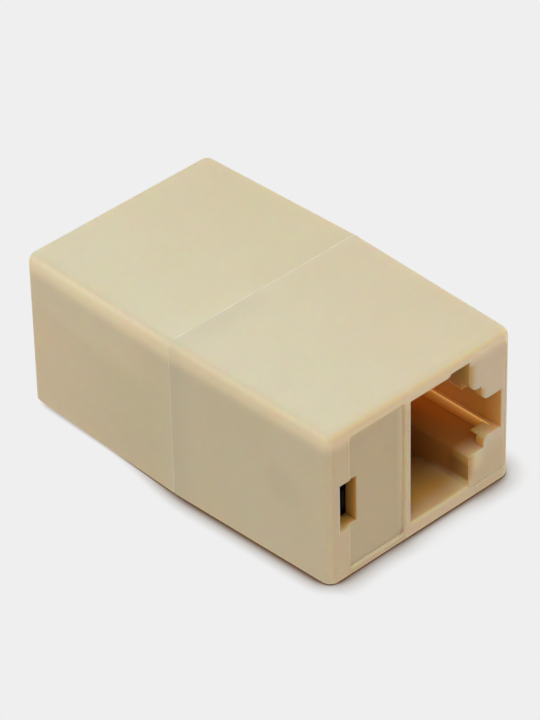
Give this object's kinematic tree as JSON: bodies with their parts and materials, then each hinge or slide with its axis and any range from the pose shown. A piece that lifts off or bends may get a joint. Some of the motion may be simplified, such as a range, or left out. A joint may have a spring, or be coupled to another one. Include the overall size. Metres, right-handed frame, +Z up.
{
  "type": "rj45 inline coupler",
  "caption": "Ivory plastic block that joins two 8-way modular network plugs end to end through a stepped socket in each end.",
  "frame": {"origin": "centre of the footprint, at the lowest point of the base (mid-length, at the seam)", "axes": "+X out of the front socket along the body's length, +Y across the body from the front socket's contact side to its latch side, +Z up"},
  "size_m": [0.034, 0.0206, 0.0148],
  "materials": {
    "shell_plastic": "satin, slightly translucent ivory",
    "carrier_plastic": "satin black",
    "contact_metal": "gold-plated, polished"
  },
  "bodies": {
    "root": {"shell_front": "shell_plastic", "shell_rear": "shell_plastic", "carrier_front": "carrier_plastic", "carrier_rear": "carrier_plastic", "contact_1": "contact_metal", "contact_2": "contact_metal", "contact_3": "contact_metal", "contact_4": "contact_metal", "contact_5": "contact_metal", "contact_6": "contact_metal", "contact_7": "contact_metal", "contact_8": "contact_metal"}
  },
  "joints": []
}
